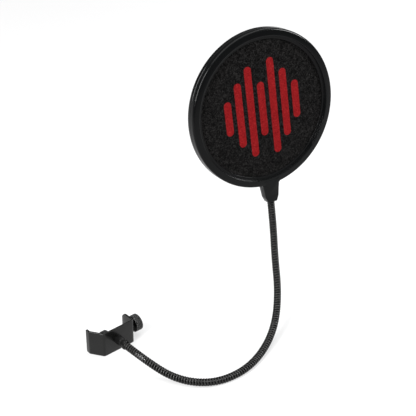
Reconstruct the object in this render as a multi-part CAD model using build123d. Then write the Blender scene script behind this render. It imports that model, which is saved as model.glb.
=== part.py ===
"""Pop filter on a clamp-on gooseneck: a two-layer screen in a round rim, a bent flexible arm
and a screw clamp for a microphone stand.

Frame: origin where the thumb screw's axis meets the axis of a 15 mm stand tube held in the jaw,
+Z up along that tube, +X along the thumb screw towards its knob, +Y out of the jaw's mouth.
All sizes are in millimetres.
"""
import os
from math import cos, radians, sin, tan

from build123d import *

# ---- clamp bracket: one bent steel strip -------------------------------------------------
STRIP_W = 26.4                      # height of the strip, along Z
STRIP_T = 1.8
WEB_X0, WEB_X1 = -4.95, 30.8        # outer corners of the web
WEB_Y = -9.3                        # outer face of the web
LEG_LEN, LEG_ANGLE = 15.2, 124.0    # sloping jaw leg, angle from +X
LIP_LEN, LIP_ANGLE = 5.4, 88.0      # short lip at the end of the leg
EAR_LEN = 17.2                      # ear that carries the thumb screw
LIP_BEND, LEG_BEND, EAR_BEND = 3.0, 3.2, 2.7    # outer bend radii
LIP_CORNER_R, EAR_CORNER_R = 1.8, 6.5           # rounded corners of the strip's two ends

# ---- thumb screw and pad -----------------------------------------------------------------
THREAD_R, NUT_BORE_R = 2.9, 3.0     # M6 thread drawn plain, in its plain bore
NUT_SPIGOT_R, NUT_FLANGE_R, NUT_FLANGE_T = 4.2, 5.5, 1.8
KNOB_GAP, KNOB_R, KNOB_T = 4.1, 8.3, 7.7
PAD_X, PAD_R, PAD_T = 0.1, 7.1, 6.2
TIP_X, CLIP_X, CLIP_T = 2.5, 3.9, 1.0
SHANK_END = 39.2

# ---- flexible arm ------------------------------------------------------------------------
COIL_R, COIL_BORE = 3.7, 2.5        # outer winding
CORE_R, CORE_BORE = 2.15, 1.1       # inner spring
BALL_R, BALL_GAP = 5.0, 0.15        # round ends where one length of the arm turns on the next
BEND_REACH = 11.0                   # straight length taken by each side of a bend
ARM_POINTS = [                      # corners of the centre line, from the clamp to the neck
    (10.9, -47, 0), (21.8, -81.8, -9.2), (43, -108, -9.5), (75.4, -114.7, -9.5),
    (110, -105.6, -9.3), (141.3, -89.1, -1.6), (164, -68, 16.2), (177.8, -47.2, 40.7),
]
FERRULE_R, FERRULE_LEN, FERRULE_X = 4.5, 13.5, 10.9
FERRULE_DEPTH = 9.5                 # how far the arm goes into its ferrule

# ---- round screen ------------------------------------------------------------------------
DISC_CENTRE = (186.2, -13.4, 189.1)
DISC_YAW, DISC_LEAN, DISC_ROLL = -9.6, 10.0, 1.6
RIM_R, RIM_INNER = 77.3, 70.2
RIM_SIDE, RIM_TOP = 3.7, 6.15       # height of the rim's straight side and of its inner edge
FLANGE_R, FLANGE_T, SEAT_R = 67.2, 0.8, 72.5
SCREEN_R, SCREEN_Z, SCREEN_T = 72.2, 2.2, 0.4
HOOP_R = 68.4
NECK_TOP, NECK_SHOULDER, NECK_END, NECK_AXIS_END = 74.0, 91.0, 96.5, 122.0
NECK_W_TOP, NECK_W_LOW, NECK_W_END = 19.0, 14.6, 9.6
NECK_T = 4.5                        # half thickness of the neck
BROW_W, BROW_TOP, BROW_LOW = 16.4, 71.4, 80.0   # the neck's face carried up over the rim's lip
TAB_TURN, TAB_W = -11.3, 3.2        # small catch on the lip's inner edge, beside the neck
INSERT_R, INSERT_TOP, INSERT_LOW = 4.2, 83.0, 94.0
SCREW_Y, SCREW_X = 80.5, 5.6        # neck screws


def disc_place():
    """Where the round screen sits: its own +Z is the front, its own -Y points down the neck."""
    return (Pos(*DISC_CENTRE) * Rot(0, 0, DISC_YAW) * Rot(90 - DISC_LEAN, 0, 0)
            * Rot(0, 0, DISC_ROLL))


def neck_point(distance):
    """A point on the neck's axis, that far below the centre of the round screen."""
    return Vector(*(disc_place() * Pos(0, -distance, 0)).position)


# ---- clamp -------------------------------------------------------------------------------
def clamp_bracket():
    """Lip, sloping leg, web and ear, bent from one strip whose two ends have round corners."""
    corner = Vector(WEB_X0, WEB_Y)
    knee = corner + Vector(cos(radians(LEG_ANGLE)), sin(radians(LEG_ANGLE))) * LEG_LEN
    lip = knee + Vector(cos(radians(LIP_ANGLE)), sin(radians(LIP_ANGLE))) * LIP_LEN
    heel, ear = Vector(WEB_X1, WEB_Y), Vector(WEB_X1, WEB_Y + EAR_LEN)
    outer = FilletPolyline(lip, knee, corner, heel, ear, radius=[LIP_BEND, LEG_BEND, EAR_BEND])
    outline = make_face(offset(outer, STRIP_T, side=Side.LEFT, closed=True))
    strip = Pos(0, 0, -STRIP_W / 2) * extrude(outline, STRIP_W)
    ends = [e for e in strip.edges()
            if abs(e.length - STRIP_T) < 0.01 and abs(abs(e.center().Z) - STRIP_W / 2) < 0.01]
    strip = fillet([e for e in ends if e.center().X < 0], LIP_CORNER_R)
    ends = [e for e in strip.edges() if e.center().X > 0
            and abs(e.length - STRIP_T) < 0.01 and abs(abs(e.center().Z) - STRIP_W / 2) < 0.01
            and e.center().Y > 0]
    strip = fillet(ends, EAR_CORNER_R)
    nut_hole = Pos(WEB_X1, 0, 0) * Rot(0, 90, 0) * Cylinder(NUT_SPIGOT_R + 0.02, 6)
    sink = Pos(FERRULE_X, WEB_Y + STRIP_T / 2, 0) * Rot(-90, 0, 0)
    return strip - nut_hole - sink * Cylinder(2.15, 4) - sink * Cone(2.1, 3.95, STRIP_T)


def jaw_nut():
    """Threaded bush pressed through the ear, with a round flange outside it."""
    spigot = Pos(WEB_X1 - STRIP_T / 2, 0, 0) * Rot(0, 90, 0) * Cylinder(NUT_SPIGOT_R, STRIP_T)
    flange = Pos(WEB_X1 + NUT_FLANGE_T / 2, 0, 0) * Rot(0, 90, 0) * Cylinder(
        NUT_FLANGE_R, NUT_FLANGE_T)
    flange = fillet(flange.edges().sort_by(Axis.X)[-1], 0.6)
    bore = Pos(WEB_X1, 0, 0) * Rot(0, 90, 0) * Cylinder(NUT_BORE_R, 20)
    return spigot + flange - bore


def clamp_screw():
    """Screw shank from inside the pad, through the jaw nut, to inside the knob."""
    length = SHANK_END - TIP_X
    shank = Pos(TIP_X + length / 2, 0, 0) * Rot(0, 90, 0) * Cylinder(THREAD_R, length)
    shank = chamfer(shank.edges().sort_by(Axis.X)[0], 0.5)
    groove = Pos(CLIP_X, 0, 0) * Rot(0, 90, 0) * (
        Cylinder(THREAD_R + 1, CLIP_T + 0.1) - Cylinder(THREAD_R - 0.6, CLIP_T + 0.1))
    return shank - groove


def tip_clip():
    """Open spring ring in the screw's tip groove: it holds the screw in the pad."""
    ring = Cylinder(THREAD_R + 1.3, CLIP_T) - Cylinder(THREAD_R - 0.5, CLIP_T * 2)
    return Pos(CLIP_X, 0, 0) * Rot(0, 90, 0) * (ring - Pos(4, 0, 0) * Box(4, 2.4, 3))


def pressure_pad():
    """Round cap on the screw's tip: a flat gripping face and a stepped blind socket."""
    pad = Pos(PAD_X + PAD_T / 2, 0, 0) * Rot(0, 90, 0) * Cylinder(PAD_R, PAD_T)
    pad = fillet(pad.edges().sort_by(Axis.X)[0], 0.8)
    pad = chamfer(pad.edges().sort_by(Axis.X)[-1], 0.8)
    room = Pos((TIP_X - 0.3 + CLIP_X + 0.8) / 2, 0, 0) * Rot(0, 90, 0) * Cylinder(
        THREAD_R + 1.6, CLIP_X + 0.8 - TIP_X + 0.3)
    mouth = Pos(PAD_X + PAD_T, 0, 0) * Rot(0, 90, 0) * Cylinder(THREAD_R + 0.15, 8)
    return pad - room - mouth


def knob():
    """Knurled thumb knob pressed on the screw's outer end, with straight grooves all round."""
    x0 = WEB_X1 + KNOB_GAP
    head = Pos(x0 + KNOB_T / 2, 0, 0) * Rot(0, 90, 0) * Cylinder(KNOB_R, KNOB_T)
    head = chamfer(head.edges().sort_by(Axis.X)[-1], 0.7)
    head = chamfer(head.edges().sort_by(Axis.X)[0], 0.4)
    for i in range(24):
        groove = Pos(0, KNOB_R + 0.15, 0) * Box(0.8, 0.8, KNOB_T + 2, rotation=(0, 0, 45))
        head -= Pos(x0 + KNOB_T / 2, 0, 0) * Rot(0, 90, 0) * Rot(0, 0, 15 * i) * groove
    socket = Pos((x0 + SHANK_END) / 2 - 1, 0, 0) * Rot(0, 90, 0) * Cylinder(
        THREAD_R + 0.02, SHANK_END + 0.02 - x0 + 2)
    return head - socket


# ---- flexible arm ------------------------------------------------------------------------
def arm_line():
    """Corners of the whole centre line, ferrule end first."""
    start = Vector(FERRULE_X, WEB_Y - FERRULE_LEN + FERRULE_DEPTH, 0)
    points = [Vector(*p) for p in ARM_POINTS]
    return [start] + points + [neck_point(NECK_AXIS_END), neck_point(INSERT_TOP + 2.5)]


def arm_pivots():
    """Where each length of the arm turns on the next: the middle of every inner run."""
    line = arm_line()
    return [(a + b) * 0.5 for a, b in zip(line[1:-2], line[2:-1])]


def arm_length(k, radius, bore):
    """Tube number k: one bend, with a hollow round start and a hollow round seat at its end."""
    line, pivots = arm_line(), arm_pivots()
    before, corner, after = line[k], line[k + 1], line[k + 2]
    into, out = (corner - before).normalized(), (after - corner).normalized()
    first = before if k == 0 else pivots[k - 1] - into * (BALL_R + 0.5)
    last = after if k == len(pivots) else pivots[k]
    bend = BEND_REACH / tan(radians(into.get_angle(out)) / 2)
    path = FilletPolyline(first, corner, last, radius=bend)
    section = Plane(origin=first, z_dir=into) * (Circle(radius) - Circle(bore))
    tube = sweep(section, path)
    if k > 0:
        cap = Plane(origin=pivots[k - 1] - into * 5, z_dir=into) * Cylinder(COIL_R + 2, 10)
        ball = Plane(origin=pivots[k - 1], z_dir=into) * Sphere(BALL_R - BALL_GAP / 2)
        tube -= cap - ball
    if k < len(pivots):
        tube -= Plane(origin=pivots[k], z_dir=out) * Sphere(BALL_R + BALL_GAP / 2)
    return tube


def lower_ferrule():
    """Turned collar that holds the arm's end, with a tapped hole for the screw in the web."""
    place = Pos(FERRULE_X, WEB_Y - FERRULE_LEN / 2, 0) * Rot(90, 0, 0)
    body = place * Cylinder(FERRULE_R, FERRULE_LEN)
    body = fillet(body.edges().sort_by(Axis.Y)[0], 0.8)
    low = WEB_Y - FERRULE_LEN
    socket = Pos(FERRULE_X, low, 0) * Rot(90, 0, 0) * Cylinder(COIL_R + 0.02, 2 * FERRULE_DEPTH)
    tapped = place * Cylinder(1.95, FERRULE_LEN + 2)
    return body - socket - tapped


def ferrule_screw():
    """Countersunk screw through the web into the ferrule, flush inside the jaw."""
    head = Pos(FERRULE_X, WEB_Y + STRIP_T / 2, 0) * Rot(-90, 0, 0) * Cone(1.9, 3.7, STRIP_T - 0.1)
    shank = Pos(FERRULE_X, WEB_Y - 1.0, 0) * Rot(90, 0, 0) * Cylinder(1.9, 4.0)
    socket = Pos(FERRULE_X, WEB_Y + STRIP_T, 0) * Rot(90, 0, 0)
    cross = socket * Box(3.6, 0.8, 2.0) + socket * Box(0.8, 3.6, 2.0)
    return head + shank - cross


# ---- round screen ------------------------------------------------------------------------
def neck_half(side):
    """Half of the neck below the rim: tapered sides, sloping shoulders."""
    outline = Polyline((-NECK_W_TOP / 2, -NECK_TOP), (-NECK_W_LOW / 2, -NECK_SHOULDER),
                       (-NECK_W_END / 2, -NECK_END), (NECK_W_END / 2, -NECK_END),
                       (NECK_W_LOW / 2, -NECK_SHOULDER), (NECK_W_TOP / 2, -NECK_TOP),
                       close=True)
    half = extrude(make_face(outline), NECK_T)
    rim = [e for e in half.edges() if abs(e.center().Z - NECK_T) < 0.01
           and e.center().Y < -NECK_TOP - 1]
    half = chamfer(rim, 0.7)
    return half if side > 0 else half.mirror(Plane.XY)


def ring_half(side):
    """Half of the rim, turned about the screen's axis: side, rounded face, inner flange."""
    flange_z = SCREEN_Z + SCREEN_T + 0.05
    outline = Polyline((RIM_R, 0), (RIM_R, RIM_SIDE), (RIM_R - 0.35, RIM_TOP - 1.45),
                       (RIM_R - 0.95, RIM_TOP - 0.75), (RIM_R - 2.1, RIM_TOP - 0.35),
                       (RIM_INNER + 0.6, RIM_TOP), (RIM_INNER, RIM_TOP - 0.5),
                       (RIM_INNER, flange_z + FLANGE_T), (FLANGE_R, flange_z + FLANGE_T),
                       (FLANGE_R, flange_z), (SEAT_R, flange_z), (SEAT_R, 0), close=True)
    ring = revolve(Rot(90, 0, 0) * make_face(outline), Axis.Z)
    return ring if side > 0 else ring.mirror(Plane.XY)


def rim_half(side):
    """Front (side 1) or rear (side -1) moulding: half rim and half neck in one piece."""
    body = ring_half(side) + (neck_half(side) - Cylinder(SEAT_R + 1, 20))
    if side > 0:
        brow = Plane.YZ * make_face(Polyline(
            (-BROW_TOP, RIM_TOP), (-BROW_LOW, NECK_T + 0.05), (-BROW_LOW, 3.8), (-BROW_TOP, 3.8),
            close=True))
        body += extrude(brow, BROW_W / 2, both=True)
        body += Rot(0, 0, TAB_TURN) * Pos(0, -RIM_INNER - 0.2, RIM_TOP - 0.25) * Box(TAB_W, 1.6, 1.2)
    socket = Pos(0, -(INSERT_TOP + INSERT_LOW) / 2, 0) * Rot(90, 0, 0) * Cylinder(
        INSERT_R + 0.05, INSERT_LOW - INSERT_TOP + 0.1)
    arm = Pos(0, -NECK_END, 0) * Rot(90, 0, 0) * Cylinder(COIL_R + 0.15, 12)
    body -= socket + arm
    for x in (-SCREW_X, SCREW_X):
        body -= Pos(x, -SCREW_Y, 0) * Cylinder(0.95 if side > 0 else 1.15, 6.0)
        if side < 0:
            body -= Pos(x, -SCREW_Y, -NECK_T) * Cylinder(1.95, 3.0)
    return disc_place() * body


def spacer_hoop():
    """Flat hoop between the two fabric layers; it sets the air gap."""
    half = SCREEN_Z - 0.02
    return disc_place() * (Cylinder(SCREEN_R - 0.2, 2 * half) - Cylinder(HOOP_R, 20))


def screen(side):
    """One taut round of fabric, held between hoop and rim flange."""
    return disc_place() * Pos(0, 0, side * (SCREEN_Z + SCREEN_T / 2)) * Cylinder(
        SCREEN_R, SCREEN_T)


def neck_insert():
    """Metal sleeve crimped on the arm's upper end and held between the two neck halves."""
    height = INSERT_LOW - INSERT_TOP
    sleeve = Cylinder(INSERT_R, height) - Cylinder(COIL_R + 0.02, height - 2.4)
    sleeve -= Pos(0, 0, -height / 2) * Cylinder(COIL_R + 0.02, height)
    return disc_place() * Pos(0, -(INSERT_TOP + INSERT_LOW) / 2, 0) * Rot(-90, 0, 0) * sleeve


def neck_screws():
    """Two small screws that pull the neck halves together, driven from behind."""
    screws = []
    for x in (-SCREW_X, SCREW_X):
        head = Pos(0, 0, -NECK_T + 0.75) * Cylinder(1.8, 1.3) - Pos(0, 0, -NECK_T) * (
            Box(2.2, 0.5, 1.0) + Box(0.5, 2.2, 1.0))
        shank = Pos(0, 0, -0.35) * Cylinder(0.9, 5.7)
        screws.append(disc_place() * Pos(x, -SCREW_Y, 0) * (head + shank))
    return Compound(children=screws)


def parts():
    """Every node and its shape."""
    shapes = {
        "clamp_bracket": clamp_bracket(), "jaw_nut": jaw_nut(), "clamp_screw": clamp_screw(),
        "tip_clip": tip_clip(), "pressure_pad": pressure_pad(), "knob": knob(),
        "lower_ferrule": lower_ferrule(), "ferrule_screw": ferrule_screw(),
        "front_rim": rim_half(1), "rear_rim": rim_half(-1), "spacer_hoop": spacer_hoop(),
        "front_screen": screen(1), "rear_screen": screen(-1), "neck_insert": neck_insert(),
        "neck_screws": neck_screws(),
    }
    for k in range(len(ARM_POINTS) + 1):
        shapes[f"arm_coil_{k + 1}"] = arm_length(k, COIL_R, COIL_BORE)
        shapes[f"arm_core_{k + 1}"] = arm_length(k, CORE_R, CORE_BORE)
    return shapes


if __name__ == "__main__":
    os.makedirs("parts", exist_ok=True)
    for node, shape in parts().items():
        shape.label = node
        export_step(shape, f"parts/{node}.step")
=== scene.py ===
"""A pop filter on a clamp-on gooseneck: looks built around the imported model, in metres."""
import math

import bpy
from mathutils import Matrix, Vector


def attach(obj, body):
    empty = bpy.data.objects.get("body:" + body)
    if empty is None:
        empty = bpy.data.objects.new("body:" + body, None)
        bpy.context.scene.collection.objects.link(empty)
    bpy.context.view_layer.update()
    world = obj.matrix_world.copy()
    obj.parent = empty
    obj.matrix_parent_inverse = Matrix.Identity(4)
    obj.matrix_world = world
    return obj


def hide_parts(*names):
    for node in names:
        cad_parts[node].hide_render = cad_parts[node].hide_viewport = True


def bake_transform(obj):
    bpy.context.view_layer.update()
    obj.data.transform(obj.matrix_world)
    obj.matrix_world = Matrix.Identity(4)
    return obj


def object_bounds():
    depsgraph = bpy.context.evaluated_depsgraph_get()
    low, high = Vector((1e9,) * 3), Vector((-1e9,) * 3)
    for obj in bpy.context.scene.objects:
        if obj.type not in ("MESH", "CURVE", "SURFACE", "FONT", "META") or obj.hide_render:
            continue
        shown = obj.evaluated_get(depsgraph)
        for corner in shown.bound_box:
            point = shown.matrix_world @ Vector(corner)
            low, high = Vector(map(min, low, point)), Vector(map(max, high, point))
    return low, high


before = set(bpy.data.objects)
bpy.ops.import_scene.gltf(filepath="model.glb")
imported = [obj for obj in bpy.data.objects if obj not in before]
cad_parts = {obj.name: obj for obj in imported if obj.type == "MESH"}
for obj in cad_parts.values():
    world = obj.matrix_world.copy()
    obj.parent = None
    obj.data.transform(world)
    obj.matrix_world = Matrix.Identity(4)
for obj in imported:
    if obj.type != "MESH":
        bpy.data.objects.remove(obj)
CAD_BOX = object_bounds()
MM = 0.001
SCENE = bpy.context.scene

# driving dimensions of the part, in millimetres and degrees
STRIP_T, STRIP_HALF_W, STRIP_ARRIS = 1.8, 13.2, 0.35   # the clamp's bent strip
WEB_X0, WEB_X1, WEB_Y = -4.95, 30.8, -9.3              # the web's outer face between its bends
LEG, LEG_TURN, LIP, LIP_TURN, EAR_END = 15.2, 124, 5.4, 88, 7.9
LIP_BEND, LEG_BEND, EAR_BEND = 3.0, 3.2, 2.7
LIP_CORNER, EAR_CORNER = 1.8, 6.5
ARM_X = 10.9                                           # where the arm leaves the web
FERRULE_R, FERRULE_L = 4.49, 13.45
GROOVE_R, RIB_H, RIB_PITCH = 3.0, 0.69, 2.6            # the arm's winding
BORE_R, BUSH_R, BUSH_T = 2.95, 5.5, 1.8
THREAD_X0, THREAD_X1, THREAD_R, THREAD_PITCH = 2.55, 38.8, 2.88, 1.0
KNOB_X, KNOB_R, KNOB_T = 34.9, 8.28, 7.7
PAD_X, PAD_R, PAD_T = 0.1, 7.08, 6.2
DISC_CENTRE, DISC_YAW, DISC_LEAN, DISC_ROLL = Vector((186.2, -13.4, 189.1)), -9.6, 10.0, 1.6
RIM_R, LIP_R, LIP_Z, FLANGE_R = 77.3, 70.2, 6.15, 67.2
SEAT_R, SEAT_Z = 72.5, 2.67                            # where the fabric's edge is gripped
NECK_END, NECK_T = 96.5, 4.5
FABRIC_R, FABRIC_Z = 72.0, 2.45

# where the round screen sits: its own +Z is the front, its own -Y points down the neck
DISC = (Matrix.Translation(DISC_CENTRE * MM)
        @ Matrix.Rotation(math.radians(DISC_YAW), 4, "Z")
        @ Matrix.Rotation(math.radians(90 - DISC_LEAN), 4, "X")
        @ Matrix.Rotation(math.radians(DISC_ROLL), 4, "Z"))


# ---- camera --------------------------------------------------------------------------------
def add_camera():
    """Looks down on the object from the front left, a good metre away, with a long lens."""
    elevation, azimuth, distance = math.radians(32.5), math.radians(40.4), 1.2
    ahead = Vector((math.sin(azimuth), math.cos(azimuth), 0))
    right = Vector((math.cos(azimuth), -math.sin(azimuth), 0))
    view = (ahead * math.cos(elevation) - Vector((0, 0, math.sin(elevation)))).normalized()
    up = right.cross(view)
    corner = Vector((-2.84, -9.3, -12.8)) * MM       # near the clamp's bottom corner
    left, below = 96.2282 * MM, 140.1109 * MM        # how far off the middle it is seen
    place = corner - distance * view + left * right + below * up
    data = bpy.data.cameras.new("camera")
    data.sensor_width, data.lens = 36.0, 109.2115
    data.clip_start, data.clip_end = 0.05, 20.0
    camera = bpy.data.objects.new("camera", data)
    SCENE.collection.objects.link(camera)
    camera.matrix_world = Matrix((
        (right.x, up.x, -view.x, place.x), (right.y, up.y, -view.y, place.y),
        (right.z, up.z, -view.z, place.z), (0, 0, 0, 1)))
    SCENE.camera = camera


add_camera()


# ---- materials -----------------------------------------------------------------------------
class Nodes:
    """A short way to write a procedural material."""

    def __init__(self, name, **sockets):
        self.material = bpy.data.materials.new(name)
        self.material.use_nodes = True
        self.tree = self.material.node_tree
        self.shader = self.tree.nodes["Principled BSDF"]
        for key, value in sockets.items():
            self.shader.inputs[key.replace("_", " ")].default_value = value
        self.place = self.add("ShaderNodeTexCoord").outputs["Object"]

    def add(self, kind, **inputs):
        node = self.tree.nodes.new(kind)
        for key, value in inputs.items():
            self.put(node.inputs[key.replace("_", " ")], value)
        return node

    def put(self, socket, value):
        if isinstance(value, bpy.types.NodeSocket):
            self.tree.links.new(value, socket)
        else:
            socket.default_value = value

    def noise(self, scale, detail, rough, vector=None, distort=0.0):
        node = self.add("ShaderNodeTexNoise", Scale=scale, Detail=detail, Roughness=rough,
                        Distortion=distort)
        self.put(node.inputs["Vector"], vector or self.place)
        return node.outputs["Fac"]

    def cells(self, scale):
        node = self.add("ShaderNodeTexVoronoi", Scale=scale, Vector=self.place)
        return node.outputs["Distance"]

    def math(self, operation, a, b=0.0):
        node = self.add("ShaderNodeMath")
        node.operation = operation
        for socket, value in zip(node.inputs, (a, b)):
            self.put(socket, value)
        return node.outputs["Value"]

    def span(self, value, low, high, to_low=0.0, to_high=1.0):
        node = self.add("ShaderNodeMapRange", Value=value)
        for key, number in (("From Min", low), ("From Max", high), ("To Min", to_low),
                            ("To Max", to_high)):
            node.inputs[key].default_value = number
        return node.outputs["Result"]

    def ramp(self, value, *stops):
        node = self.add("ShaderNodeValToRGB", Fac=value)
        points = node.color_ramp.elements
        while len(points) < len(stops):
            points.new(0.5)
        for point, (at, colour) in zip(points, stops):
            point.position, point.color = at, (*colour, 1.0)
        return node.outputs["Color"]

    def mix(self, factor, a, b):
        node = self.add("ShaderNodeMix")
        node.data_type = "RGBA"
        self.put(node.inputs[0], factor)
        self.put(node.inputs[6], a if isinstance(a, bpy.types.NodeSocket) else (*a, 1.0))
        self.put(node.inputs[7], b if isinstance(b, bpy.types.NodeSocket) else (*b, 1.0))
        return node.outputs[2]

    def stretched(self, scale):
        node = self.add("ShaderNodeMapping", Vector=self.place)
        node.inputs["Scale"].default_value = scale
        return node.outputs["Vector"]

    def bump(self, height, strength, distance):
        node = self.add("ShaderNodeBump", Height=height, Strength=strength, Distance=distance)
        return node.outputs["Normal"]

    def done(self, colour, roughness=None, normal=None):
        for key, value in (("Base Color", colour), ("Roughness", roughness), ("Normal", normal)):
            if value is not None:
                self.put(self.shader.inputs[key], value)
        return self.material


def moulded_plastic(name="moulded_plastic", base=(0.0019, 0.0021, 0.0022), gloss=0.17, ior=1.21):
    """Semi-gloss black moulding: faint flow marks, fine spark texture and thin scuffs."""
    n = Nodes(name, IOR=ior)
    flow = n.noise(28, 4, 0.55)
    fine = n.noise(2600, 2, 0.6)
    scuff = n.noise(420, 5, 0.7, vector=n.stretched((1, 1, 0.12)))
    colour = n.ramp(flow, (0.3, base), (0.75, tuple(c * 1.4 for c in base)))
    marks = n.span(scuff, 0.62, 0.72, 0.0, 0.3)
    colour = n.mix(marks, colour, tuple(c * 3.0 for c in base))
    rough = n.math("ADD", n.span(flow, 0.3, 0.7, gloss - 0.03, gloss + 0.05),
                   n.math("MULTIPLY", marks, 0.2))
    return n.done(colour, rough, n.bump(fine, 0.1, 0.00003))


def painted_steel():
    """Satin black paint on steel: fine orange peel, dust and cloudy tone."""
    n = Nodes("painted_steel", IOR=1.34)
    peel, cloud = n.noise(900, 3, 0.5), n.noise(60, 4, 0.6)
    dust = n.span(n.noise(3200, 2, 0.8), 0.68, 0.8, 0, 0.4)
    colour = n.ramp(cloud, (0.3, (0.0028, 0.0028, 0.0026)), (0.8, (0.0045, 0.0045, 0.0042)))
    colour = n.mix(dust, colour, (0.014, 0.014, 0.0135))
    rough = n.span(cloud, 0.3, 0.7, 0.2, 0.27)
    return n.done(colour, rough, n.bump(peel, 0.08, 0.00005))


def black_oxide(name="black_oxide", tone=0.0032, low=0.2, high=0.3, ior=1.32):
    """Blackened turned steel: a dark lacquered film over fine turning lines."""
    n = Nodes(name, IOR=ior)
    lines, patch = n.noise(1500, 2, 0.5, vector=n.stretched((6, 0.4, 0.4))), n.noise(300, 4, 0.6)
    colour = n.ramp(patch, (0.3, (tone, tone, tone)), (0.8, (tone * 1.9, tone * 1.9, tone * 1.85)))
    rough = n.span(patch, 0.3, 0.7, low, high)
    return n.done(colour, rough, n.bump(lines, 0.15, 0.00003))


def wound_steel():
    """The arm's winding: blackened wire, with a painted highlight on the tops of the turns' crowns.
    """
    n = Nodes("wound_steel", IOR=1.2)
    patch, grit = n.noise(220, 4, 0.6), n.noise(4200, 2, 0.6)
    crown = n.add("ShaderNodeAttribute")
    crown.attribute_name = "crown"
    # painted highlight: the tops of the crowns are painted lighter, patchy along the arm, in place
    # of light caught by each turn; the rest stays near black
    top = n.span(crown.outputs["Fac"], 0.88, 0.99)
    painted_crown_highlight = n.math("MULTIPLY", top, n.span(patch, 0.35, 0.7, 0.3, 1.0))
    # near-black wire, and the lighter colour of the painted highlight on the crowns
    colour = n.mix(painted_crown_highlight, (0.0003, 0.0003, 0.0003), (0.044, 0.044, 0.043))
    colour = n.mix(n.span(grit, 0.66, 0.78, 0, 0.25), colour, (0.02, 0.0195, 0.0185))
    return n.done(colour, n.span(patch, 0.3, 0.7, 0.1, 0.17), n.bump(grit, 0.08, 0.00003))


def bright_steel():
    """Plated or drawn steel with fine drawing lines and dull patches."""
    n = Nodes("bright_steel", Metallic=1.0)
    tone = 0.42
    patch, lines = n.noise(260, 4, 0.6), n.noise(2400, 2, 0.5, vector=n.stretched((1, 1, 8)))
    colour = n.ramp(patch, (0.3, (tone, tone, tone * 1.02)), (0.8, (tone * 1.3,) * 3))
    return n.done(colour, n.span(patch, 0.3, 0.7, 0.24, 0.4), n.bump(lines, 0.2, 0.00003))


def pad_rubber():
    """Matt black rubber with a soft bloom."""
    n = Nodes("pad_rubber", IOR=1.35)
    bloom, grain = n.noise(160, 4, 0.6), n.noise(3000, 2, 0.6)
    colour = n.ramp(bloom, (0.3, (0.004, 0.004, 0.004)), (0.8, (0.009, 0.009, 0.0092)))
    return n.done(colour, n.span(bloom, 0.3, 0.7, 0.5, 0.65), n.bump(grain, 0.25, 0.00005))


def wave_bars(n):
    """Seven upright bars with round ends, like a sound wave: 1 on a bar and 0 off it."""
    flat = n.add("ShaderNodeMapping", Vector=n.place)
    flat.vector_type = "TEXTURE"
    flat.inputs["Location"].default_value = DISC.translation
    flat.inputs["Rotation"].default_value = DISC.to_euler()
    axes = n.add("ShaderNodeSeparateXYZ", Vector=flat.outputs["Vector"])
    x, y = axes.outputs["X"], axes.outputs["Y"]
    pitch, half_width, soft = 0.0125, 0.0039, 0.0002
    reaches = (0.013, 0.028, 0.041, 0.023, 0.044, 0.03, 0.015)
    bars, grey = len(reaches), 20                # a ramp's grey is 20 times the bar's reach
    count = n.math("ADD", n.math("DIVIDE", x, pitch), bars / 2)
    tall = n.add("ShaderNodeValToRGB", Fac=n.math("DIVIDE", count, bars))
    tall.color_ramp.interpolation = "CONSTANT"
    stops = tall.color_ramp.elements
    while len(stops) < bars:
        stops.new(0.5)
    for i, half_length in enumerate(reaches):
        stops[i].position = i / bars
        stops[i].color = (*[half_length * grey] * 3, 1)
    reach = n.math("MULTIPLY", tall.outputs["Color"], 1 / grey)
    across = n.math("MULTIPLY", n.math("SUBTRACT", n.math("FRACT", count), 0.5), pitch)
    beyond = n.math("MAXIMUM", n.math("SUBTRACT", n.math("ABSOLUTE", y), reach), 0.0)
    gap = n.math("SQRT", n.math("ADD", n.math("MULTIPLY", across, across),
                                n.math("MULTIPLY", beyond, beyond)))
    inside = n.math("LESS_THAN", n.math("ABSOLUTE", x), bars / 2 * pitch)
    return n.math("MULTIPLY", inside, n.span(gap, half_width + soft, half_width - soft))


def fleece(name, printed):
    """Black fleecy nylon: curled grey fibres, tiny pits, and a print of rounded upright bars."""
    n = Nodes(name, Roughness=0.95, Specular_IOR_Level=0.05)
    curl = n.noise(780, 3, 0.75, distort=1.4)
    clump = n.noise(240, 3, 0.6, distort=0.8)
    tuft = n.math("ADD", n.math("MULTIPLY", curl, 0.8), n.math("MULTIPLY", clump, 0.2))
    colour = n.ramp(tuft, (0.4, (0.0002, 0.0002, 0.0002)), (0.5, (0.0007, 0.0007, 0.0007)),
                    (0.575, (0.014, 0.0134, 0.0132)))
    height = n.math("SUBTRACT", tuft, n.math("MULTIPLY", n.cells(760), 0.4))
    if printed:
        ink = n.ramp(tuft, (0.34, (0.085, 0.0022, 0.003)), (0.52, (0.15, 0.0042, 0.0055)),
                     (0.66, (0.22, 0.013, 0.0135)))
        colour = n.mix(wave_bars(n), colour, ink)
    return n.done(colour, None, n.bump(height, 0.7, 0.0005))


# ---- mesh helpers --------------------------------------------------------------------------
def piece(name, verts, faces, material, body, slot, nodes, matrix=None, sharp=35.0,
          values=None):
    """One mesh piece from points in millimetres. It rides on a body, if one is given."""
    mesh = bpy.data.meshes.new(name)
    mesh.from_pydata([tuple(c * MM for c in v) for v in verts], [], faces)
    if matrix is not None:
        mesh.transform(matrix)
    mesh.validate()
    mesh.shade_smooth()
    mesh.set_sharp_from_angle(angle=math.radians(sharp))
    for key, numbers in (values or {}).items():
        mesh.attributes.new(key, "FLOAT", "POINT").data.foreach_set("value", numbers)
    mesh.materials.append(material)
    obj = bpy.data.objects.new(name, mesh)
    SCENE.collection.objects.link(obj)
    if body:
        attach(obj, body)
    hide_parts(*nodes)
    return obj


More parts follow.
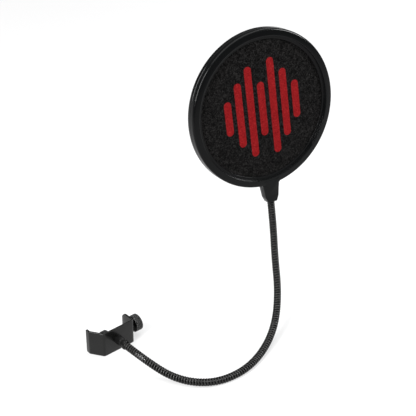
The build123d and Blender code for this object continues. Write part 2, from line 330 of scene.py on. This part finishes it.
def rounded(corners, steps):
    """A closed outline whose corners (x, y, radius) are turned into arcs."""
    line = []
    for i, (x, y, radius) in enumerate(corners):
        here = Vector((x, y))
        back = (Vector(corners[i - 1][:2]) - here)
        on = (Vector(corners[(i + 1) % len(corners)][:2]) - here)
        if radius <= 0 or back.length < 1e-6 or on.length < 1e-6:
            line.append((x, y))
            continue
        half = back.angle(on) / 2
        reach = min(radius / math.tan(half), 0.49 * back.length, 0.49 * on.length)
        radius = reach * math.tan(half)
        back.normalize()
        on.normalize()
        centre = here + (back + on).normalized() * (radius / math.sin(half))
        a, b = here + back * reach - centre, here + on * reach - centre
        turn = a.angle_signed(b)
        for k in range(steps + 1):
            arm = a.copy()
            arm.rotate(Matrix.Rotation(-turn * k / steps, 2))
            line.append(tuple(centre + arm))
    return line


def lathe(outline, count, wave=None):
    """Points and faces of an (r, z) outline turned about Z. wave(r, z, angle) changes r."""
    verts, faces, size = [], [], len(outline)
    for i in range(count):
        angle = 2 * math.pi * i / count
        for r, z in outline:
            rr = r if wave is None else wave(r, z, angle)
            verts.append((rr * math.cos(angle), rr * math.sin(angle), z))
    for i in range(count):
        for k in range(size):
            a, b = i * size, ((i + 1) % count) * size
            faces.append((a + k, b + k, b + (k + 1) % size, a + (k + 1) % size))
    return verts, faces


def stacked(outline, levels, height=None):
    """A closed body from one outline, repeated at (z, inset) levels and capped at both ends."""
    count = len(outline)
    normals = []
    area = sum(outline[i - 1][0] * p[1] - p[0] * outline[i - 1][1] for i, p in enumerate(outline))
    outward = 1.0 if area > 0 else -1.0
    for i in range(count):
        a, b = Vector(outline[i - 1]), Vector(outline[(i + 1) % count])
        along = (b - a).normalized()
        normals.append(Vector((along.y, -along.x)) * outward)
    verts, faces = [], []
    for z, inset in levels:
        for p, normal in zip(outline, normals):
            q = Vector(p) - normal * inset
            verts.append((q.x, q.y, z if height is None else height(q.x, q.y, z)))
    for j in range(len(levels) - 1):
        for i in range(count):
            a, b = j * count + i, j * count + (i + 1) % count
            faces.append((a, b, b + count, a + count))
    faces.append(tuple(range(count))[::-1])
    faces.append(tuple(range((len(levels) - 1) * count, len(levels) * count)))
    return verts, faces


def direction(degrees):
    """The flat direction at that angle from +X."""
    return Vector((math.cos(math.radians(degrees)), math.sin(math.radians(degrees))))


def along_x(x0):
    """Turns a lathe's Z axis into the row frame's +X, starting at x0 millimetres."""
    return Matrix.Translation((x0 * MM, 0, 0)) @ Matrix.Rotation(math.radians(90), 4, "Y")


# ---- the arm -------------------------------------------------------------------------------
def neck_point(distance):
    """A place on the neck's axis, that far from the screen's centre."""
    return DISC @ Vector((0, -distance * MM, 0)) / MM


# the route of the CAD model, from the web's outside to the neck
ROUTE = [Vector(p) for p in (
    (ARM_X, -13.3, 0), (ARM_X, -47, 0), (21.8, -81.8, -9.2), (43, -108, -9.5),
    (75.4, -114.7, -9.5), (110, -105.6, -9.3), (141.3, -89.1, -1.6), (164, -68, 16.2),
    (177.8, -47.2, 40.7))]
ROUTE += [neck_point(122.0), neck_point(85.5)]
PIVOTS = [(a + b) / 2 for a, b in zip(ROUTE[1:-2], ROUTE[2:-1])]


def centre_line():
    """Points read from the route's NURBS spline, in millimetres."""
    data = bpy.data.curves.new("arm_route", "CURVE")
    data.dimensions, data.resolution_u = "3D", 48
    spline = data.splines.new("NURBS")
    spline.points.add(len(ROUTE) - 1)
    for point, place in zip(spline.points, ROUTE):
        point.co = (*(place * MM), 1.0)
    spline.order_u = 3
    spline.use_endpoint_u = True
    obj = bpy.data.objects.new("arm_route", data)
    SCENE.collection.objects.link(obj)
    mesh = bpy.data.meshes.new_from_object(
        obj.evaluated_get(bpy.context.evaluated_depsgraph_get()))
    points = [v.co / MM for v in mesh.vertices]
    bpy.data.objects.remove(obj)
    return points


def arm_frames(step):
    """Evenly spaced (length, place, two cross directions) along the centre line."""
    points = centre_line()
    lengths = [0.0]
    for a, b in zip(points, points[1:]):
        lengths.append(lengths[-1] + (b - a).length)
    count = int(lengths[-1] / step)
    frames, k = [], 0
    side = Vector((0, 0, 1))
    for i in range(count + 1):
        s = lengths[-1] * i / count
        while k < len(points) - 2 and lengths[k + 1] < s:
            k += 1
        t = (s - lengths[k]) / max(lengths[k + 1] - lengths[k], 1e-9)
        here = points[k].lerp(points[k + 1], t)
        lo, hi = max(k - 1, 0), min(k + 2, len(points) - 1)
        ahead = (points[hi] - points[lo]).normalized()
        side = (side - ahead * side.dot(ahead)).normalized()
        frames.append((s, here, side.copy(), ahead.cross(side)))
    return frames


def arm_pieces(material):
    """The wound tube in eight lengths, split at the route's corners; ribs run on through."""
    frames, around, blend_reach = arm_frames(0.16), 32, 12
    marks = [0]
    for corner in ROUTE[2:-2]:
        marks.append(min(range(len(frames)), key=lambda i: (frames[i][1] - corner).length))
    marks.append(len(frames) - 1)
    for j, pivot in enumerate(PIVOTS):
        verts, crowns, faces = [], [], []
        for s, here, u, v in frames[marks[j]:marks[j + 1] + 1]:
            for i in range(around):
                angle = 2 * math.pi * i / around
                phase = (s / RIB_PITCH - i / around) % 1.0
                crown = math.sqrt(max(1 - (1.96 * phase - 0.98) ** 2, 0.0))
                radius = GROOVE_R + RIB_H * crown
                verts.append(here + (u * math.cos(angle) + v * math.sin(angle)) * radius)
                crowns.append(crown)
        for r in range(len(verts) // around - 1):
            for i in range(around):
                a, b = r * around + i, r * around + (i + 1) % around
                faces.append((a, b, b + around, a + around))
        nodes = [f"arm_coil_{j + 1}"] + (["arm_coil_9"] if j == 7 else [])
        obj = piece(f"gooseneck_{j + 1}", verts, faces, material, None, "arm_coil_black", nodes,
                    sharp=180, values={"crown": crowns})
        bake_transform(obj)


def ferrule(material):
    """Turned collar on the web, rounded at its mouth, with one crimped groove."""
    groove_r = FERRULE_R - 0.24
    outline = rounded([(0.5, 0, 0), (FERRULE_R, 0, 0.25), (FERRULE_R, 7.4, 0.2),
                       (groove_r, 7.7, 0.2), (groove_r, 8.3, 0.2), (FERRULE_R, 8.6, 0.2),
                       (FERRULE_R, FERRULE_L, 0.6), (3.85, FERRULE_L, 0.15),
                       (3.3, 9.0, 0), (0.5, 9.0, 0)], 4)
    place = Matrix.Translation(Vector((ARM_X, WEB_Y, 0)) * MM) @ Matrix.Rotation(
        math.radians(90), 4, "X")
    piece("arm_ferrule", *lathe(outline, 96), material, "clamp", "black_steel",
          ["lower_ferrule"], place)


# ---- clamp ---------------------------------------------------------------------------------
def strip_line():
    """Outer face of the bent strip, from the lip's end to the ear's end: (length, place, inward)."""
    corner = Vector((WEB_X0, WEB_Y))
    knee = corner + direction(LEG_TURN) * LEG
    lip = knee + direction(LIP_TURN) * LIP
    heel, ear = Vector((WEB_X1, WEB_Y)), Vector((WEB_X1, EAR_END))
    bends = ((lip, knee, corner, LIP_BEND), (knee, corner, heel, LEG_BEND),
             (corner, heel, ear, EAR_BEND))
    gap, bend_steps = 0.5, 12
    line = []

    def run(a, b):
        count = max(2, int((b - a).length / gap))
        line.extend(a.lerp(b, k / count) for k in range(count + 1))

    last = lip
    for before, here, after, radius in bends:
        back, on = (before - here).normalized(), (after - here).normalized()
        half = back.angle(on) / 2
        reach = radius / math.tan(half)
        run(last, here + back * reach)
        centre = here + (back + on).normalized() * (radius / math.sin(half))
        a, b = here + back * reach - centre, here + on * reach - centre
        turn = a.angle_signed(b)
        for k in range(1, bend_steps):
            arm = a.copy()
            arm.rotate(Matrix.Rotation(-turn * k / bend_steps, 2))
            line.append(centre + arm)
        last = here + on * reach
    run(last, ear)
    frames, s = [], 0.0
    for i, p in enumerate(line):
        ahead = (line[min(i + 1, len(line) - 1)] - line[max(i - 1, 0)]).normalized()
        s += 0 if i == 0 else (p - line[i - 1]).length
        frames.append((s, p, Vector((-ahead.y, ahead.x))))
    return frames


def bracket(material):
    """The bent strip: soft arrises, bends of even thickness and round corners at both ends."""
    stations = strip_line()
    total, arris_steps = stations[-1][0], 4
    # distances from an end, closest together where its corners curve fastest
    ends = [0.0, 0.06, 0.14, 0.25, 0.4, 0.6, 0.85, 1.15, 1.5, 1.8, 2.3, 2.9, 3.6, 4.5, 5.5, 6.5]
    first, last = stations[0], stations[-1]
    tip, toe = (stations[1][1] - first[1]).normalized(), (stations[-2][1] - last[1]).normalized()
    head = [(d, first[1] + tip * d, first[2]) for d in ends if d <= LIP_CORNER]
    tail = [(total - d, last[1] + toe * d, last[2]) for d in ends if d <= EAR_CORNER][::-1]
    middle = [x for x in stations if LIP_CORNER < x[0] < total - EAR_CORNER]
    stations = head + middle + tail
    verts, faces = [], []
    for s, p, inward in stations:
        d, corner = min((s, LIP_CORNER), (total - s, EAR_CORNER))
        high = STRIP_HALF_W
        if d < corner:
            high += math.sqrt(corner ** 2 - (corner - d) ** 2) - corner
        high = max(high, STRIP_HALF_W - corner + 0.02)
        shrink = 0.0
        if d < STRIP_ARRIS:
            shrink = STRIP_ARRIS - math.sqrt(STRIP_ARRIS ** 2 - (STRIP_ARRIS - d) ** 2)
        outer, inner = shrink, STRIP_T - shrink
        high -= shrink * 0.6
        e = min(max(STRIP_ARRIS - shrink * 0.6, 0.05), (inner - outer) / 2.05)
        for across, z, start in ((inner - e, high - e, 0), (outer + e, high - e, 90),
                                 (outer + e, -high + e, 180), (inner - e, -high + e, 270)):
            for k in range(arris_steps + 1):
                arc = direction(start + 90 * k / arris_steps) * e
                q = p + inward * (across + arc.x)
                verts.append((q.x, q.y, z + arc.y))
    size = 4 * (arris_steps + 1)
    for j in range(len(stations) - 1):
        for i in range(size):
            a, b = j * size + i, j * size + (i + 1) % size
            faces.append((a, a + size, b + size, b))
    faces.append(tuple(range(size)))
    faces.append(tuple(range((len(stations) - 1) * size, len(stations) * size))[::-1])
    piece("bent_bracket", verts, faces, material, "clamp", "black_paint", ["clamp_bracket"])


def bush(material):
    """Threaded bush pressed into the ear, with a flange on its outside."""
    outline = rounded([(BORE_R, -STRIP_T, 0), (4.15, -STRIP_T, 0), (4.15, 0, 0), (BUSH_R, 0, 0.15),
                       (BUSH_R, BUSH_T, 0.5), (3.3, BUSH_T, 0.1), (BORE_R, BUSH_T - 0.3, 0)], 4)
    piece("threaded_bush", *lathe(outline, 72), material, "clamp", "black_steel", ["jaw_nut"],
          along_x(WEB_X1))


def screw(material):
    """The shank, with its thread as a helix that fades in at the pad's end."""
    around, step, depth, fade_in = 28, 0.1, 0.5, 0.8
    verts, faces, rows = [], [], int((THREAD_X1 - THREAD_X0) / step) + 1
    for r in range(rows):
        x = THREAD_X0 + r * step
        ease = min(1.0, (x - THREAD_X0) / fade_in)
        for i in range(around):
            angle = 2 * math.pi * i / around
            phase = ((x / THREAD_PITCH) + i / around) % 1.0
            tooth = abs(phase - 0.5) * 2
            radius = THREAD_R - depth * min(1.0, max(0.0, tooth * 1.25 - 0.1)) - 0.4 * (1 - ease)
            verts.append((x, radius * math.cos(angle), radius * math.sin(angle)))
    for r in range(rows - 1):
        for i in range(around):
            a, b = r * around + i, r * around + (i + 1) % around
            faces.append((a, b, b + around, a + around))
    faces.append(tuple(range(around))[::-1])
    piece("screw_thread", verts, faces, material, "screw", "black_steel", ["clamp_screw"],
          sharp=60)


def knob(material):
    """Thumb knob with a straight knurl and a shallow recess in its outer face."""
    teeth, low, high, steps = 36, 0.5, KNOB_T - 0.5, 20

    def knurl(r, z, angle):
        if r < 7.6 or z < low or z > high:
            return r
        fade = min(1.0, (z - low) / 0.5, (high - z) / 0.5)
        return r - 0.3 * max(fade, 0) * (0.5 + 0.5 * math.cos(teeth * angle)) ** 2

    side = [(KNOB_R, 0.6 + 0.325 * k, 0) for k in range(steps)]
    outline = rounded([(0.4, 0, 0), (7.8, 0, 0.15), (KNOB_R, 0.35, 0.1)] + side
                      + [(KNOB_R, KNOB_T - 0.6, 0.2), (7.6, KNOB_T, 0.5), (5.4, KNOB_T, 0.25),
                         (4.9, 7.3, 0.3), (0.4, 7.25, 0)], 3)
    piece("knurled_knob", *lathe(outline, 12 * teeth, knurl), material, "screw", "black_knob",
          ["knob"], along_x(KNOB_X), sharp=50)


def pad(material):
    """Rubber pad with a raised ring on its face and a socket for the screw's tip."""
    outline = rounded([(0.4, 0.25, 0), (1.6, 0.25, 0.1), (1.8, 0.0, 0.1), (2.8, 0.0, 0.1),
                       (3.0, 0.25, 0.1), (3.8, 0.25, 0.1), (4.0, 0.0, 0.1), (PAD_R, 0.0, 0.9),
                       (PAD_R, 5.2, 0.5), (6.3, PAD_T, 0.5), (3.4, PAD_T, 0.25), (3.1, 5.4, 0.1),
                       (3.1, 4.6, 0), (0.4, 4.6, 0)], 4)
    piece("rubber_pad", *lathe(outline, 96), material, "pad", "pad_rubber", ["pressure_pad"],
          along_x(PAD_X))


# ---- round screen --------------------------------------------------------------------------
def rim(material):
    """Two moulded halves: ring, neck, the neck's face and a small catch over the lip."""
    ring = rounded([(RIM_R - 0.25, 0.0, 0), (RIM_R, 0.28, 0.1), (RIM_R, 5.62, 2.1),
                    (LIP_R + 0.7, LIP_Z, 0.45), (LIP_R, 5.85, 0.35), (LIP_R, 3.5, 0.25),
                    (FLANGE_R + 0.1, 3.42, 0.2), (FLANGE_R, SEAT_Z + 0.01, 0.15),
                    (SEAT_R, SEAT_Z - 0.01, 0), (SEAT_R, 0.0, 0)], 5)
    half_neck = [(4.8, -NECK_END, 0.7), (7.2, -91.0, 0.8), (9.1, -77.2, 2.6), (13.5, -76.2, 0),
                 (14, -73, 0)]
    neck = rounded([(-x, y, r) for x, y, r in half_neck[::-1]] + half_neck, 8)
    face = rounded([(-9.0, -79.5, 1.0), (-7.6, -90.2, 1.2), (7.6, -90.2, 1.2), (9.0, -79.5, 1.0)]
                   + [(71.5 * math.sin(a), -71.5 * math.cos(a), 0)
                      for a in (0.13, 0.09, 0.05, 0.0, -0.05, -0.09, -0.13)], 6)
    catch = rounded([(-1.6, -71.4, 0.3), (-1.6, -69.7, 0.5), (1.6, -69.7, 0.5),
                     (1.6, -71.4, 0.3)], 3)

    def swell(x, y, z):
        """The neck's face runs up over the shoulder to the lip's inner edge."""
        up = min(max((y + 82.0) / 7.0, 0.0), 1.0)
        return z + (1.62 * up if z > 3.9 else 0.0)

    both = [lathe(ring, 288),
            stacked(neck, [(0.0, 0.2), (0.2, 0.0), (3.8, 0.0), (4.02, 0.05), (4.22, 0.17),
                           (4.38, 0.35), (4.47, 0.55), (NECK_T, 0.8)])]
    catch_v, catch_f = stacked(catch, [(3.2, 0.0), (LIP_Z, 0.0), (6.4, 0.12), (6.5, 0.35)])
    turn = Matrix.Rotation(math.radians(-11.3), 3, "Z")
    front_only = [stacked(face, [(3.8, 0.6), (4.3, 0.75), (4.48, 0.85), (4.53, 1.15)], swell),
                  ([turn @ Vector(v) for v in catch_v], catch_f)]
    for name, node, sign in (("rim_front", "front_rim", 1), ("rim_rear", "rear_rim", -1)):
        verts, faces = [], []
        for v, f in both + (front_only if sign > 0 else []):
            base = len(verts)
            verts += [(x, y, z * sign) for x, y, z in v]
            faces += [tuple(i + base for i in loop[::sign]) for loop in f]
        piece(name, verts, faces, material, "screen", "rim_plastic", [node], DISC, sharp=40)


def fabric(name, node, sign, material, slot):
    """One taut layer with a very shallow pillowed relief, out to where the rim grips it."""
    rings, around = 72, 216
    verts, faces = [(0.0, 0.0, sign * FABRIC_Z)], []
    for i in range(1, rings + 1):
        r = FABRIC_R * i / rings
        for k in range(around):
            a = 2 * math.pi * k / around
            x, y = r * math.cos(a), r * math.sin(a)
            lift = 0.05 * math.sin(0.31 * x + 1.3) * math.sin(0.27 * y + 0.4)
            lift *= min(1.0, max(0.0, (66.0 - r) / 8.0))
            verts.append((x, y, sign * (FABRIC_Z + lift)))
    for k in range(around):
        tri = (0, 1 + k, 1 + (k + 1) % around)
        faces.append(tri if sign > 0 else tri[::-1])
    for i in range(rings - 1):
        for k in range(around):
            a, b = 1 + i * around + k, 1 + i * around + (k + 1) % around
            quad = (a, a + around, b + around, b)
            faces.append(quad if sign > 0 else quad[::-1])
    obj = piece(name, verts, faces, material, "screen", slot, [node], DISC, sharp=180)


# ---- stage ---------------------------------------------------------------------------------
def stage():
    """A plain pale floor under the clamp and the arm. Its own faint light keeps it white."""
    n = Nodes("pale_floor", Roughness=0.8, Specular_IOR_Level=0.05, Emission_Strength=0.54)
    n.shader.inputs["Emission Color"].default_value = (1, 1, 1, 1)
    cloud = n.noise(3, 2, 0.5)
    n.done(n.ramp(cloud, (0.3, (0.245, 0.245, 0.247)), (0.7, (0.255, 0.255, 0.255))))
    size, z = 5.0, CAD_BOX[0][2]
    mesh = bpy.data.meshes.new("floor")
    mesh.from_pydata([(-size, -size, z), (size, -size, z), (size, size, z), (-size, size, z)],
                     [], [(0, 1, 2, 3)])
    mesh.materials.append(n.material)
    floor = bpy.data.objects.new("floor", mesh)
    SCENE.collection.objects.link(floor)


def box(name, toward, away, size, radiance):
    """A rectangular softbox in that direction, as bright as that (1 is white)."""
    middle = Vector((0.12, -0.04, 0.08))
    data = bpy.data.lights.new(name, "AREA")
    data.shape, data.size, data.size_y = "RECTANGLE", size[0], size[1]
    data.energy = radiance * math.pi * size[0] * size[1]
    obj = bpy.data.objects.new(name, data)
    SCENE.collection.objects.link(obj)
    obj.location = middle + Vector(toward).normalized() * away
    obj.rotation_euler = (middle - obj.location).to_track_quat("-Z", "Y").to_euler()


def lights():
    """Soft studio light: a big box above, small bright ones right and left, one behind."""
    world = bpy.data.worlds.new("studio")
    world.use_nodes = True
    background = world.node_tree.nodes["Background"]
    background.inputs["Color"].default_value = (1, 1, 1, 1)
    background.inputs["Strength"].default_value = 0.14
    SCENE.world = world
    box("top_box", (0.0, 0.05, 1.0), 1.8, (2.0, 2.0), 3.3)
    box("right_box", (0.72, -0.5, 0.48), 1.5, (0.4, 0.6), 38.0)
    box("right_rear_box", (0.63, 0.28, 0.73), 1.7, (0.5, 0.5), 7.0)
    box("left_box", (-0.8, -0.1, 0.58), 1.4, (0.4, 0.9), 30.0)
    SCENE.view_settings.view_transform = "Standard"


# ---- everything ----------------------------------------------------------------------------
oxide, bright = black_oxide(), bright_steel()
arm_pieces(wound_steel())
ferrule(oxide)
bracket(painted_steel())
bush(oxide)
screw(black_oxide("black_screw_steel", 0.008, 0.22, 0.32, 1.7))
knob(black_oxide("black_knob_metal", 0.0035, 0.18, 0.28, 1.42))
pad(pad_rubber())
rim(moulded_plastic())
fabric("fabric_front", "front_screen", 1, fleece("printed_fleece", True), "front_fabric")
fabric("fabric_rear", "rear_screen", -1, fleece("plain_fleece", False), "rear_fabric")
kept = {"spacer_hoop": moulded_plastic("hoop_plastic", (0.02, 0.02, 0.021), 0.5),
        "neck_insert": bright, "neck_screws": bright, "tip_clip": bright,
        "ferrule_screw": oxide}
kept.update({f"arm_core_{k}": bright for k in range(1, 10)})
for node, material in kept.items():
    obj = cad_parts[node]
    obj.data.materials.clear()
    obj.data.materials.append(material)
stage()
lights()
